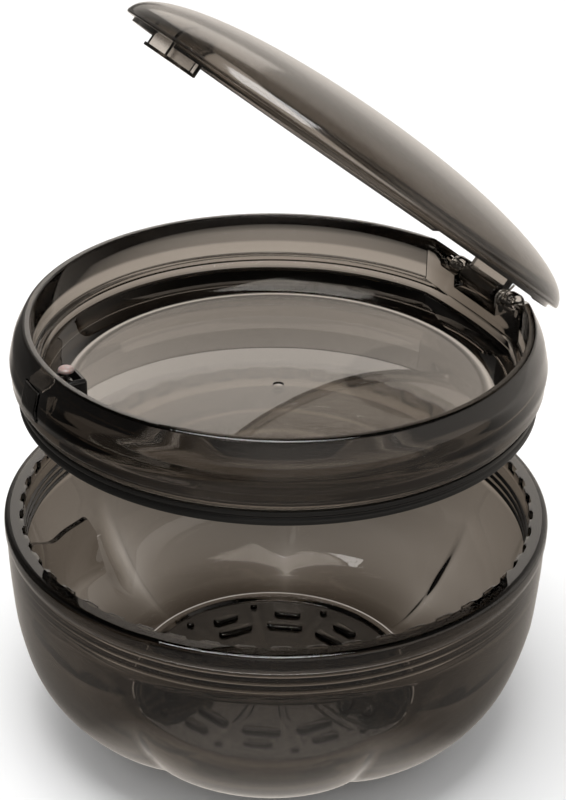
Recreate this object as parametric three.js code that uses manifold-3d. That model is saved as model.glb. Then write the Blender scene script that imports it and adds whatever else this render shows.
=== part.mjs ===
// Denture case: a soaking bowl, a shallow tray that seats in its mouth, and a sprung lid on the tray.
// Millimetres, +Z up. The origin is the centre of the base pad's underside.
// The hinge lies at +Y and the latch at -Y. The tray is shown lifted off the bowl, with its lid open.
import * as THREE from 'three';
import { mergeVertices } from 'three/addons/utils/BufferGeometryUtils.js';
import Module from 'manifold-3d';

const wasm = await Module();
wasm.setup();

// Fits shared by all pieces
const seatGap = 0.3; // between pieces that rest on each other
const runningGap = 0.15; // radial, between the hinge pin and its bores
const cutOverrun = 3; // how far a cutting shape reaches past what it cuts

// How finely round forms are divided
const mergeTolerance = 1e-4;
const roundSteps = 63; // a multiple of the flute count, so that each crease falls on a step
const smallSteps = 12;
const wireSides = 5;
const curlSteps = 8;

// Bowl
const bowlHeight = 48;
const bowlRadius = 55;
const bowlWall = 2.2;
const rimWidth = 3.9; // from the bowl's outside to the mouth that the tray drops into
const bandHeight = 3.5; // smooth band round the outside of the rim
const bandStep = 0.4; // how far the band stands out from the wall below it
const rimChamfer = 0.8;
const toothCount = 50;
const toothHeight = 1.4;
const toothDepth = 0.8;
const toothShare = 0.5; // tooth width as a share of the pitch
const ribCount = 3;
const ribStart = 5; // first rib's top edge, below the rim
const ribHeight = 1;
const ribPitch = 1.8;
const ribDepth = 0.54;
const floorTop = 4.6; // shelf round the well
const wellShare = 0.509; // the well's radius as a share of bowlRadius
const wellDepth = 0.8;
// Outer wall from foot to band: radius as a share of bowlRadius, height as a share of bowlHeight
const outerWallShares = [
  [0.618, 0.008], [0.698, 0.052], [0.78, 0.123], [0.865, 0.223],
  [0.936, 0.354], [0.969, 0.5], [0.988, 0.75], [0.993, 0.92],
];
// Inner wall from rib to floor: radius as a share of the radius inside the wall, height as above
const innerWallShares = [
  [0.986, 0.77], [0.97, 0.52], [0.936, 0.375], [0.875, 0.26], [0.786, 0.171], [0.67, 0.108],
];
const outerWallSteps = 9;
const innerWallSteps = 7;
const barEndSteps = 3;

// Flutes: the creases between the bowl's lobes
const fluteCount = 7;
const fluteTurn = 6.2; // degrees from the hinge to the first crease
const fluteDepth = 3.2;
const fluteTop = 28; // where a crease starts to show
const fluteFull = 12; // where it reaches its depth
const fluteInnerRise = 8; // inside, it fades out over this height above the floor

// Step on the inner wall of one lobe
const stepLobe = 2; // counted from the hinge
const stepThickness = 0.7;
const stepBury = 0.6; // how deep it sits in the wall, so that the two join
// Its wavy top edge: place across the lobe, and drop below the rim as a share of bowlHeight
const stepEdgeShares = [
  [0.03, 0.465], [0.25, 0.465], [0.45, 0.385], [0.62, 0.335], [0.75, 0.37], [0.86, 0.6],
];

// Drain bars and dots on the well's floor
const barHeight = 0.8;
const barWidth = 2.2;
const barGroups = 10;
const outerBarShare = 0.411; // radius of the outer ring of bars as a share of bowlRadius
const outerBarLength = 6;
const innerBarShare = 0.324;
const innerBarLength = 8;
const dotRadius = 0.8;
const dotRingShare = 0.465;
const dotSides = 6;

// Base pad
const padEdge = 1.2; // how far the pad reaches past the well
const padThickness = 1.6;
const padChamfer = 0.4;
const footLift = 0.4; // the bowl's foot stands this far above the table

// Tray: heights are measured down from its rim, and radii out from the bowl's mouth
const liftHeight = 30; // how far the tray is raised off its seat
const trayWall = 2.4;
const rimOut = -0.8;
const shoulderOut = 0.1;
const shoulderDrop = 4;
const beltOut = 1.2;
const beltDrop = 7.7;
const underBeltOut = 0.9;
const underBeltDrop = 9.5;
const seatOut = 0.8;
const seatDrop = 11.4;
const neckOut = -0.4;
const neckHeight = 1.9;
const sealGrooveHeight = 3.4; // from the neck down to the skirt's lip
const trayFloor = 1.9;
const floorOut = -9.1;
const ledgeDrop = 8.7;
const ledgeWidth = 1.5;
const ledgeHeight = 2.2;
const skirtOut = -1.7;
const skirtLip = 0.6;
const bullnoseSteps = 4;
const gateRadius = 1.1; // dimple left by the mould's gate
const gateDepth = 0.4;

// Tray seal
const sealGrooveDepth = 2.5; // in from the neck
const sealLipHeight = 0.9;
const sealRelief = 0.6; // the groove between its two lips

// Hinge
const hingeInset = 0.45; // the hinge's axis, in from the tray's inner wall
const hingeDrop = 3.56; // below the tray's rim
const knuckleRadius = 2.4;
const knuckleHalf = 6;
const knuckleSides = 8;
const earWidth = 3.7;
const springEarWidth = 2.2;
const pinRadius = 0.8;
const pinProud = 0.4;
const notchDrop = 3.5;
const notchFloorHalf = 10;
const notchMouthHalf = 18;
const panelInset = 3.15; // flat panel's face, in from the hinge's axis
const panelLean = 2; // how far its foot comes in from there
const panelHalf = 17;
const webThickness = 1.8;
const webTopRise = 2.2; // how far above the tray's rim the web runs into the lid

// Hinge spring
const hingeWire = 0.5;
const hingeCoilRadius = 1.5;
const hingeCurlPitch = 0.95;
const hingeCurls = 2;
const lidLegReach = 3.1; // straight leg towards the lid
const lidLegAngle = 50; // degrees from upright, outwards

// Lid: heights are measured up from the tray's rim with the lid closed
const lidOpenAngle = 39; // degrees
const lidInset = 1.2; // in from the tray's rim
const lidHeight = 11.2;
const lidWall = 1.8;
const lidEdgeLift = 0.3;
const domePower = 2.1; // 2 is an ellipse, more is squarer
const domeSteps = 7;
const lipGap = 0.7; // from the lip to the tray's inner wall
const lipWall = 1;
const lipDepth = 0.6; // below the rim plane
const lipStopGap = 0.8; // the lip is cut away from this far in front of the hinge's panel
const lipLatchHalf = 4.2; // and over this half width at the latch

// Latch
const buttonTravel = 1.2;
const buttonWidth = 6.2;
const buttonHeight = 5.8;
const buttonDrop = 6.6; // its centre, below the tray's rim
const buttonProud = 0.4;
const buttonBackOut = 1.7; // the face's back, out from the tray's inner wall
const slideWidth = 3.2;
const slideRise = 1.5; // its top, above the button's centre
const slidePost = 1.6; // thickness of the post that carries the stud
const studInset = 3.3; // in from the tray's inner wall
const studRadius = 0.7;
const studGap = 0.1; // from its ends to the post and the cap
const capRadius = 1.5;
const capHeight = 0.9;
const capCrownShare = 0.62; // top of the cap's chamfer as a share of its radius
const housingWall = 0.9;
const housingDrop = 3.2; // its top, below the tray's rim
const housingChamfer = 0.9;
const housingCorner = 0.3; // what the middle of its chamfer cuts off
const housingFloor = 0.7;

// Button spring
const buttonWire = 0.25;
const buttonCoilRadius = 2.55;
const buttonCurls = 2;

// Latch shelf in the lid
const shelfThickness = 0.6;
const shelfHalf = 5;
const shelfRim = 1.1; // what is left of it inside the keyhole
const gussetWidth = 0.8;
const gussetOffset = 3.6;

// Sizes worked out from those above
const firstCrease = Math.PI / 2 + (fluteTurn * Math.PI) / 180;
const insideRadius = bowlRadius - bowlWall;
const boreRadius = bowlRadius - rimWidth;
const wellRadius = bowlRadius * wellShare;
const padRadius = wellRadius + padEdge;
const sealRadius = boreRadius - seatGap;
const neckRadius = boreRadius + neckOut;
const skirtRadius = boreRadius + skirtOut;
const sealGrooveRadius = neckRadius - sealGrooveDepth;
const trayFloorRadius = boreRadius + floorOut;
const beltRadius = boreRadius + beltOut;
const trayRimRadius = boreRadius + rimOut;
const trayInnerRadius = trayRimRadius - trayWall;
const ledgeRadius = trayInnerRadius - ledgeWidth;
const hingeReach = trayInnerRadius - hingeInset;
const panelReach = hingeReach - panelInset;
const panelFootReach = panelReach - panelLean;
const lidRadius = trayRimRadius - lidInset;
const lipOuterRadius = trayInnerRadius - lipGap;
const lipHingeStop = panelReach - lipStopGap;
const buttonBackReach = trayInnerRadius + buttonBackOut;
const studReach = trayInnerRadius - studInset;
const keyReach = studReach - buttonTravel;
const shelfReach = keyReach - capRadius - seatGap - shelfRim;
const trayRimHeight = bowlHeight + seatDrop + seatGap + liftHeight;
const neckDrop = seatDrop + neckHeight;
const trayHeight = neckDrop + sealGrooveHeight + skirtLip;
const cavityHalf = slideWidth / 2 + seatGap;
const housingHalf = cavityHalf + housingWall;
const housingBackReach = studReach - slidePost / 2 - buttonTravel - seatGap - housingWall;
const coilSpan = hingeCurlPitch * (hingeCurls + lidLegAngle / 360) + hingeWire;
const springEarStart = knuckleHalf + seatGap + coilSpan + seatGap;
const pocketDrop = hingeDrop + knuckleRadius + seatGap;
const cavityFloor = seatGap + housingFloor - ledgeDrop;
const housingRise = -housingDrop;
const postTop = housingRise - seatGap;
const shelfLift = housingRise + seatGap;
const capLift = shelfLift + shelfThickness + seatGap;

// Turns any geometry into a solid that can be joined and cut
function solidOf(geometry) {
  geometry.deleteAttribute('normal');
  geometry.deleteAttribute('uv');
  const merged = mergeVertices(geometry, mergeTolerance);
  const index = merged.index.array;
  const kept = [];
  for (let i = 0; i < index.length; i += 3) {
    const [a, b, c] = [index[i], index[i + 1], index[i + 2]];
    if (a !== b && b !== c && c !== a) kept.push(a, b, c);
  }
  return new wasm.Manifold(new wasm.Mesh({
    numProp: 3,
    vertProperties: new Float32Array(merged.attributes.position.array),
    triVerts: new Uint32Array(kept),
  }));
}

// Turns a finished solid into a named mesh
function meshOf(name, solid, material) {
  const made = solid.getMesh();
  const geometry = new THREE.BufferGeometry();
  geometry.setAttribute('position', new THREE.BufferAttribute(new Float32Array(made.vertProperties), 3));
  geometry.setIndex(new THREE.BufferAttribute(new Uint32Array(made.triVerts), 1));
  geometry.computeVertexNormals();
  const mesh = new THREE.Mesh(geometry, material);
  mesh.name = name;
  return mesh;
}

// A plastic, rubber or metal with its colour and gloss
function finish(color, roughness, metalness, opacity) {
  const transparent = opacity < 1;
  return new THREE.MeshStandardMaterial({ color, roughness, metalness, opacity, transparent });
}

const smokeOpacity = 0.6;
const smokePlastic = () => finish('#5a5248', 0.08, 0, smokeOpacity);
const blackPlastic = () => finish('#12110f', 0.25, 0, 1);
const blackSilicone = () => finish('#161513', 0.5, 0, 1);
const pinkNylon = () => finish('#c9b3ab', 0.3, 0, 1);
const brightSteel = () => finish('#c4c2be', 0.22, 1, 1);

// Revolves an outline of [radius, height] pairs about Z
function revolve(outline, steps = roundSteps) {
  const points = outline.map(([radius, height]) => new THREE.Vector2(radius, height));
  const touchesAxis = points[0].x === 0 && points[points.length - 1].x === 0;
  if (!touchesAxis) points.push(points[0].clone());
  const geometry = new THREE.LatheGeometry(points, steps);
  geometry.rotateX(Math.PI / 2);
  return solidOf(geometry);
}

// Extrudes an outline along X, Y or Z; outlines are [y, z], [x, z] and [x, y] pairs
function extrudeShape(outline, depth) {
  const shape = new THREE.Shape(outline.map(([u, v]) => new THREE.Vector2(u, v)));
  return new THREE.ExtrudeGeometry(shape, { depth, bevelEnabled: false, steps: 1 });
}

function extrudeX(outline, from, to) {
  const geometry = extrudeShape(outline, to - from);
  const along = [new THREE.Vector3(0, 1, 0), new THREE.Vector3(0, 0, 1), new THREE.Vector3(1, 0, 0)];
  geometry.applyMatrix4(new THREE.Matrix4().makeBasis(...along));
  return solidOf(geometry.translate(from, 0, 0));
}

function extrudeY(outline, from, to) {
  const geometry = extrudeShape(outline, to - from);
  const along = [new THREE.Vector3(1, 0, 0), new THREE.Vector3(0, 0, 1), new THREE.Vector3(0, -1, 0)];
  geometry.applyMatrix4(new THREE.Matrix4().makeBasis(...along));
  return solidOf(geometry.translate(0, to, 0));
}

function extrudeZ(outline, from, to) {
  return solidOf(extrudeShape(outline, to - from).translate(0, 0, from));
}

// A block between two corners
function block(x0, x1, y0, y1, z0, z1) {
  const geometry = new THREE.BoxGeometry(x1 - x0, y1 - y0, z1 - z0);
  return solidOf(geometry.translate((x0 + x1) / 2, (y0 + y1) / 2, (z0 + z1) / 2));
}

// A rod along X on the hinge's axis
function hingeRod(radius, from, to, steps = smallSteps) {
  const geometry = new THREE.CylinderGeometry(radius, radius, to - from, steps);
  geometry.rotateZ(Math.PI / 2);
  return solidOf(geometry.translate((from + to) / 2, hingeReach, -hingeDrop));
}

// An upright rod
function post(radius, x, y, from, to, steps = smallSteps) {
  const geometry = new THREE.CylinderGeometry(radius, radius, to - from, steps);
  geometry.rotateX(Math.PI / 2);
  return solidOf(geometry.translate(x, y, (from + to) / 2));
}

// Points of a smooth curve through hand-chosen points
function smoothCurve(points, steps) {
  const curve = new THREE.SplineCurve(points.map(([u, v]) => new THREE.Vector2(u, v)));
  return curve.getPoints(steps).map((point) => [point.x, point.y]);
}

// Lofts closed outlines that change with the angle about Z, all round or over one stretch
function loftAround(outlineAt, from, to, steps) {
  const whole = to - from > Math.PI * 2 - mergeTolerance;
  const rings = [];
  for (let i = 0; i < (whole ? steps : steps + 1); i += 1) {
    const angle = from + ((to - from) * i) / steps;
    const direction = [Math.cos(angle), Math.sin(angle)];
    rings.push(outlineAt(angle).map(([r, z]) => [r * direction[0], r * direction[1], z]));
  }
  const side = rings[0].length;
  const triangles = [];
  for (let i = 0; i < steps; i += 1) {
    const next = whole ? (i + 1) % steps : i + 1;
    for (let j = 0; j < side; j += 1) {
      const k = (j + 1) % side;
      triangles.push([i * side + j, i * side + k, next * side + k]);
      triangles.push([i * side + j, next * side + k, next * side + j]);
    }
  }
  if (!whole) {
    const flat = outlineAt(from).map(([r, z]) => new THREE.Vector2(r, z));
    for (const [a, b, c] of THREE.ShapeUtils.triangulateShape(flat, [])) {
      const last = steps * side;
      triangles.push([c, b, a]);
      triangles.push([last + a, last + b, last + c]);
    }
  }
  const geometry = new THREE.BufferGeometry();
  geometry.setAttribute('position', new THREE.Float32BufferAttribute(rings.flat(2), 3));
  geometry.setIndex(triangles.map(([a, b, c]) => [a, c, b]).flat());
  return solidOf(geometry);
}

// A round wire swept along points, with flat ends
function sweepWire(points, diameter) {
  const tangents = points.map((point, i) => {
    const before = points[Math.max(i - 1, 0)];
    const after = points[Math.min(i + 1, points.length - 1)];
    return after.clone().sub(before).normalize();
  });
  const startsAlongX = Math.abs(tangents[0].x) > Math.abs(tangents[0].z);
  const start = startsAlongX ? new THREE.Vector3(0, 0, 1) : new THREE.Vector3(1, 0, 0);
  let normal = start.clone().projectOnPlane(tangents[0]).normalize();
  const vertices = [];
  points.forEach((point, i) => {
    normal = normal.clone().projectOnPlane(tangents[i]).normalize();
    const binormal = tangents[i].clone().cross(normal);
    for (let side = 0; side < wireSides; side += 1) {
      const turn = (side / wireSides) * Math.PI * 2;
      const offset = normal.clone().multiplyScalar(Math.cos(turn));
      offset.addScaledVector(binormal, Math.sin(turn));
      vertices.push(point.clone().addScaledVector(offset, diameter / 2));
    }
  });
  const triangles = [];
  for (let i = 0; i < points.length - 1; i += 1) {
    for (let side = 0; side < wireSides; side += 1) {
      const next = (side + 1) % wireSides;
      const [a, b] = [i * wireSides + side, i * wireSides + next];
      triangles.push(a, b, b + wireSides, a, b + wireSides, a + wireSides);
    }
  }
  const last = (points.length - 1) * wireSides;
  for (let side = 1; side < wireSides - 1; side += 1) {
    triangles.push(0, side + 1, side);
    triangles.push(last, last + side, last + side + 1);
  }
  const geometry = new THREE.BufferGeometry().setFromPoints(vertices);
  geometry.setIndex(triangles);
  return solidOf(geometry);
}

// The least gap between a wire and its own next curl
function leastSelfGap(points, diameter, curlRadius) {
  let least = Infinity;
  for (let i = 0; i < points.length; i += 1) {
    let along = 0;
    for (let j = i + 1; j < points.length; j += 1) {
      along += points[j].distanceTo(points[j - 1]);
      if (along > curlRadius * Math.PI) least = Math.min(least, points[i].distanceTo(points[j]));
    }
  }
  return least - diameter;
}

// How far a crease cuts in, from 0 on a lobe's crest to 1 in the crease: each lobe is an ellipse's arc
function creaseShare(angle) {
  const turns = ((angle - firstCrease) * fluteCount) / (Math.PI * 2);
  const offset = Math.abs(turns - Math.floor(turns) - 1 / 2) * 2;
  return 1 - Math.sqrt(Math.max(0, 1 - offset * offset));
}

function smoothStep(share) {
  const t = Math.min(1, Math.max(0, share));
  return t * t * (3 - 2 * t);
}

function outerCrease(height) {
  return fluteDepth * smoothStep((fluteTop - height) / (fluteTop - fluteFull));
}

function innerCrease(height) {
  return outerCrease(height) * smoothStep((height - floorTop) / fluteInnerRise);
}

const outerWall = smoothCurve(
  outerWallShares.map(([r, z]) => [r * bowlRadius, z * bowlHeight]),
  outerWallSteps,
);
const innerWall = smoothCurve(
  innerWallShares.map(([r, z]) => [r * insideRadius, z * bowlHeight]),
  innerWallSteps,
);

// Radius of the bowl's inner wall at a height, on a lobe's crest
function innerRadiusAt(height) {
  for (let i = 0; i < innerWall.length - 1; i += 1) {
    const [[r0, z0], [r1, z1]] = [innerWall[i], innerWall[i + 1]];
    if (height <= z0 && height >= z1) return r0 + ((r1 - r0) * (z0 - height)) / (z0 - z1);
  }
  return height > innerWall[0][1] ? innerWall[0][0] : innerWall[innerWall.length - 1][0];
}

// The bowl's section at one angle, anticlockwise from the foot's inner edge
function bowlSection(angle) {
  const crease = creaseShare(angle);
  const padRecess = padRadius + seatGap;
  const bandBottom = bowlHeight - bandHeight;
  const stripRadius = boreRadius + seatGap;
  const section = [[padRecess, footLift]];
  for (const [r, z] of outerWall) section.push([r - crease * outerCrease(z), z]);
  section.push([bowlRadius - bandStep, bandBottom]);
  section.push([bowlRadius, bandBottom + bandStep]);
  section.push([bowlRadius, bowlHeight - rimChamfer]);
  section.push([bowlRadius - rimChamfer, bowlHeight]);
  section.push([boreRadius, bowlHeight]);
  section.push([boreRadius, bowlHeight - toothHeight]);
  section.push([stripRadius, bowlHeight - toothHeight]);
  for (let i = 0; i < ribCount; i += 1) {
    const top = bowlHeight - ribStart - i * ribPitch;
    section.push([stripRadius, top]);
    section.push([stripRadius - ribDepth, top - ribHeight / 2]);
    section.push([stripRadius, top - ribHeight]);
  }
  for (const [r, z] of innerWall) section.push([r - crease * innerCrease(z), z]);
  section.push([wellRadius + wellDepth, floorTop]);
  section.push([wellRadius, floorTop - wellDepth]);
  return section;
}

// A drain bar: a slot shape lying across the radius
function drainBar(radius, length, angle) {
  const half = (length - barWidth) / 2;
  const outline = [];
  for (let i = 0; i <= barEndSteps; i += 1) {
    const turn = (i / barEndSteps) * Math.PI;
    outline.push([radius + (barWidth / 2) * Math.cos(turn), half + (barWidth / 2) * Math.sin(turn)]);
  }
  const mirrored = outline.map(([x, y]) => [2 * radius - x, -y]);
  const floor = floorTop - wellDepth;
  return extrudeZ([...outline, ...mirrored], floor - barHeight, floor + barHeight)
    .rotate([0, 0, THREE.MathUtils.radToDeg(angle)]);
}

function makeBowl() {
  const turn = Math.PI * 2;
  const floor = floorTop - wellDepth;
  const padTop = padThickness + seatGap;
  const coreRadius = wellRadius - barWidth;
  let bowl = loftAround((angle) => {
    const core = [[coreRadius, floor], [coreRadius, padTop], [padRadius + seatGap, padTop]];
    return [...bowlSection(angle), ...core];
  }, firstCrease, firstCrease + turn, roundSteps);
  bowl = bowl.add(revolve([
    [0, padTop], [wellRadius - barWidth / 2, padTop], [wellRadius - barWidth / 2, floor], [0, floor],
  ]));

  // The step on one lobe's inner wall
  const lobe = turn / fluteCount;
  const lobeStart = firstCrease + stepLobe * lobe;
  const [firstShare] = stepEdgeShares[0];
  const [lastShare] = stepEdgeShares[stepEdgeShares.length - 1];
  const edge = (angle) => {
    const across = (angle - lobeStart) / lobe;
    const after = Math.max(1, stepEdgeShares.findIndex(([place]) => place >= across - mergeTolerance));
    const [[p0, d0], [p1, d1]] = [stepEdgeShares[after - 1], stepEdgeShares[after]];
    const blend = smoothStep((across - p0) / (p1 - p0));
    return bowlHeight * (1 - (d0 + (d1 - d0) * blend));
  };
  const stepFoot = floorTop + fluteInnerRise;
  const rows = 5;
  bowl = bowl.add(loftAround((angle) => {
    const crease = creaseShare(angle);
    const faces = [[], []];
    for (let i = 0; i <= rows; i += 1) {
      const z = stepFoot + ((edge(angle) - stepFoot) * i) / rows;
      const r = innerRadiusAt(z) - crease * innerCrease(z);
      faces[0].push([r + stepBury, z]);
      faces[1].unshift([r - stepThickness * (i === 0 ? 0 : 1), z]);
    }
    return [...faces[0], ...faces[1]];
  }, lobeStart + firstShare * lobe, lobeStart + lastShare * lobe, roundSteps / fluteCount));

  // The notches between the rim's teeth
  const pitch = turn / toothCount;
  const notchHalf = (boreRadius * pitch * (1 - toothShare)) / 2;
  for (let i = 0; i < toothCount; i += 1) {
    const notch = block(
      boreRadius - cutOverrun, boreRadius + toothDepth, -notchHalf, notchHalf,
      bowlHeight - toothHeight - seatGap, bowlHeight + cutOverrun,
    );
    bowl = bowl.subtract(notch.rotate([0, 0, THREE.MathUtils.radToDeg(i * pitch)]));
  }

  // Drain bars and dots
  const dotRing = bowlRadius * dotRingShare;
  for (let i = 0; i < barGroups; i += 1) {
    const angle = (i / barGroups) * turn;
    const between = ((i + 1 / 2) / barGroups) * turn;
    bowl = bowl.add(drainBar(bowlRadius * outerBarShare, outerBarLength, angle));
    bowl = bowl.add(drainBar(bowlRadius * innerBarShare, innerBarLength, angle));
    const [x, y] = [dotRing * Math.cos(between), dotRing * Math.sin(between)];
    const dot = post(dotRadius, x, y, floor - barHeight, floor + barHeight, dotSides);
    bowl = bowl.add(dot);
  }
  return bowl;
}

function makeBasePad() {
  return revolve([
    [0, 0], [padRadius - padChamfer, 0], [padRadius, padChamfer],
    [padRadius, padThickness], [0, padThickness],
  ]);
}

// The tray's outside from the seat to the rim, pushed out by an amount
function beltOutline(proud) {
  const outline = [
    [seatOut, seatDrop], [underBeltOut, underBeltDrop], [beltOut, beltDrop],
    [shoulderOut, shoulderDrop], [rimOut, trayWall / 2],
  ];
  return outline.map(([out, drop]) => [boreRadius + out + proud, -drop]);
}

function makeTray() {
  const bottom = -trayHeight;
  const floor = -trayHeight + trayFloor;
  const nose = trayWall / 2;
  const bullnose = [];
  for (let i = 1; i <= bullnoseSteps; i += 1) {
    const turn = (i / bullnoseSteps) * Math.PI;
    bullnose.push([trayRimRadius - nose + nose * Math.cos(turn), -nose + nose * Math.sin(turn)]);
  }
  const ledgeFoot = -ledgeDrop - ledgeHeight;
  let tray = revolve([
    [0, bottom], [skirtRadius, bottom], [skirtRadius, bottom + skirtLip],
    [sealGrooveRadius, bottom + skirtLip], [sealGrooveRadius, -neckDrop],
    [neckRadius, -neckDrop], [neckRadius, -seatDrop], ...beltOutline(0), ...bullnose,
    [trayInnerRadius, -ledgeDrop], [ledgeRadius, -ledgeDrop], [ledgeRadius, ledgeFoot],
    ...smoothCurve([
      [ledgeRadius - ledgeWidth / 2, ledgeFoot],
      [(ledgeRadius + trayFloorRadius) / 2, (ledgeFoot + floor) / 2 - nose / 2],
      [trayFloorRadius, floor],
    ], bullnoseSteps),
    [0, floor],
  ]);

  // Flat panel inside the hinge
  const foot = floor - trayFloor / 2;
  const envelope = revolve([
    [0, foot], [sealGrooveRadius, foot], [trayInnerRadius + nose, -nose], [0, -nose],
  ]);
  const panel = extrudeX([
    [panelFootReach, foot], [trayRimRadius, foot], [trayRimRadius, -nose], [panelReach, -nose],
    [panelReach, -ledgeDrop], [panelFootReach, floor],
  ], -panelHalf, panelHalf);
  tray = tray.add(panel.intersect(envelope));

  // The rim dips at the hinge, and a pocket clears the knuckle and the spring
  const [near, far] = [panelReach - cutOverrun, beltRadius + cutOverrun];
  tray = tray.subtract(extrudeY([
    [-notchFloorHalf, -notchDrop], [notchFloorHalf, -notchDrop], [notchMouthHalf, 0],
    [notchMouthHalf, cutOverrun], [-notchMouthHalf, cutOverrun], [-notchMouthHalf, 0],
  ], near, far));
  const pocketStart = -knuckleHalf - seatGap;
  tray = tray.subtract(block(pocketStart, springEarStart, near, far, -pocketDrop, cutOverrun));
  const earSteps = smallSteps * 2;
  tray = tray.add(hingeRod(knuckleRadius, pocketStart - earWidth, pocketStart, earSteps));
  tray = tray.add(hingeRod(knuckleRadius, springEarStart, springEarStart + springEarWidth, earSteps));
  const boreEnd = springEarStart + springEarWidth + cutOverrun;
  tray = tray.subtract(hingeRod(pinRadius + runningGap, pocketStart - earWidth - cutOverrun, boreEnd));

  // The push button's window, and the dimple of the mould's gate
  const windowHalf = buttonWidth / 2 + seatGap;
  const windowRise = buttonHeight / 2 + seatGap;
  tray = tray.subtract(block(
    -windowHalf, windowHalf, -beltRadius - cutOverrun, -ledgeRadius - seatGap,
    -buttonDrop - windowRise, -buttonDrop + windowRise,
  ));
  return tray.subtract(post(gateRadius, 0, 0, floor - gateDepth, floor + cutOverrun));
}

function makeTraySeal() {
  const bottom = -trayHeight + skirtLip + seatGap;
  const top = -neckDrop - seatGap;
  const inner = sealGrooveRadius + seatGap;
  return revolve([
    [inner, bottom], [sealRadius, bottom], [sealRadius, bottom + sealLipHeight],
    [sealRadius - sealRelief, (bottom + top) / 2], [sealRadius, top - sealLipHeight],
    [sealRadius, top], [inner, top],
  ]);
}

function makeHingePin() {
  const start = -knuckleHalf - seatGap - earWidth - pinProud;
  return hingeRod(pinRadius, start, springEarStart + springEarWidth + pinProud);
}

// The torsion spring: a leg down to the tray, curls round the pin, and a leg towards the lid
function hingeSpringPath() {
  const startX = knuckleHalf + seatGap + hingeWire / 2;
  const place = (x, y, z) => new THREE.Vector3(x, hingeReach + y, -hingeDrop + z);
  const points = [place(startX, -hingeCoilRadius, -pocketDrop + hingeDrop + seatGap)];
  const turns = hingeCurls + lidLegAngle / 360;
  const steps = Math.round(turns * curlSteps);
  for (let i = 0; i <= steps; i += 1) {
    const turned = (turns * i) / steps;
    const angle = Math.PI * (1 - 2 * turned);
    const x = startX + hingeCurlPitch * turned;
    points.push(place(x, hingeCoilRadius * Math.cos(angle), hingeCoilRadius * Math.sin(angle)));
  }
  const lean = THREE.MathUtils.degToRad(lidLegAngle);
  const end = points[points.length - 1].clone();
  points.push(end.add(new THREE.Vector3(0, Math.sin(lean), Math.cos(lean)).multiplyScalar(lidLegReach)));
  return points;
}

function makeHingeSpring() {
  const path = hingeSpringPath();
  console.log('hinge spring least self gap', leastSelfGap(path, hingeWire, hingeCoilRadius).toFixed(2));
  return sweepWire(path, hingeWire);
}

// Half of the dome's section: a squared ellipse from its edge to its crown
function domeArc(radius, height) {
  const points = [];
  for (let i = 0; i <= domeSteps; i += 1) {
    const turn = (i / domeSteps) * (Math.PI / 2);
    const across = i === domeSteps ? 0 : Math.cos(turn) ** (2 / domePower);
    points.push([radius * across, lidEdgeLift + height * Math.sin(turn) ** (2 / domePower)]);
  }
  return points;
}

function makeLid() {
  const innerRadius = lidRadius - lidWall;
  const innerHeight = lidHeight - lidWall;
  const inner = domeArc(innerRadius, innerHeight).reverse();
  let lid = revolve([...domeArc(lidRadius, lidHeight).reverse(), ...inner.slice().reverse()].reverse());
  const fill = revolve([...domeArc(lidRadius - lidWall / 2, lidHeight - lidWall / 2), [0, lidEdgeLift]]);

  // The lip that drops inside the tray's rim, cut away at the hinge and at the latch
  let lip = revolve([
    [lipOuterRadius - lipWall, -lipDepth], [lipOuterRadius, -lipDepth],
    [lipOuterRadius, lidEdgeLift + lipWall], [lipOuterRadius - lipWall, lidEdgeLift + lipWall],
  ]);
  const reach = lidRadius + cutOverrun;
  lip = lip.subtract(block(-reach, reach, lipHingeStop, reach, -cutOverrun, cutOverrun));
  lip = lip.subtract(block(-lipLatchHalf, lipLatchHalf, -reach, -lipHingeStop, -cutOverrun, lidEdgeLift));
  lid = lid.add(lip);

  // Knuckle and web
  const [webNear, webFar] = [hingeReach - webThickness / 2, hingeReach + webThickness / 2];
  const web = block(-knuckleHalf, knuckleHalf, webNear, webFar, -hingeDrop, webTopRise);
  const skinFoot = -hingeDrop - knuckleRadius;
  const skin = revolve([[0, skinFoot], [lidRadius, skinFoot], ...domeArc(lidRadius, lidHeight)]);
  lid = lid.add(web.intersect(skin));
  lid = lid.add(hingeRod(knuckleRadius, -knuckleHalf, knuckleHalf, knuckleSides));
  lid = lid.subtract(hingeRod(pinRadius + runningGap, -knuckleHalf - cutOverrun, knuckleHalf + cutOverrun));

  // Latch shelf with its keyhole, and the ribs that hang it below the rim
  const top = shelfLift + shelfThickness;
  const [cutLow, cutHigh] = [shelfLift - seatGap, top + seatGap];
  let shelf = block(-shelfHalf, shelfHalf, -lidRadius, -shelfReach, shelfLift, top);
  shelf = shelf.subtract(post(capRadius + seatGap, 0, -keyReach, cutLow, cutHigh));
  const slotHalf = studRadius + seatGap;
  shelf = shelf.subtract(block(-slotHalf, slotHalf, -studReach, -keyReach, cutLow, cutHigh));
  shelf = shelf.subtract(post(slotHalf, 0, -studReach, cutLow, cutHigh));
  const back = block(-shelfHalf, shelfHalf, -shelfReach - gussetWidth, -shelfReach, shelfLift, innerHeight);
  let ribs = back;
  for (const side of [-1, 1]) {
    const middle = side * gussetOffset;
    ribs = ribs.add(block(
      middle - gussetWidth / 2, middle + gussetWidth / 2, -lidRadius, -shelfReach, shelfLift, innerHeight,
    ));
  }
  const plugTop = lidEdgeLift + lipWall;
  const plug = revolve([
    [0, shelfLift], [lipOuterRadius, shelfLift], [lipOuterRadius, plugTop], [0, plugTop],
  ]);
  return lid.add(shelf.add(ribs).intersect(fill.add(plug)));
}

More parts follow.
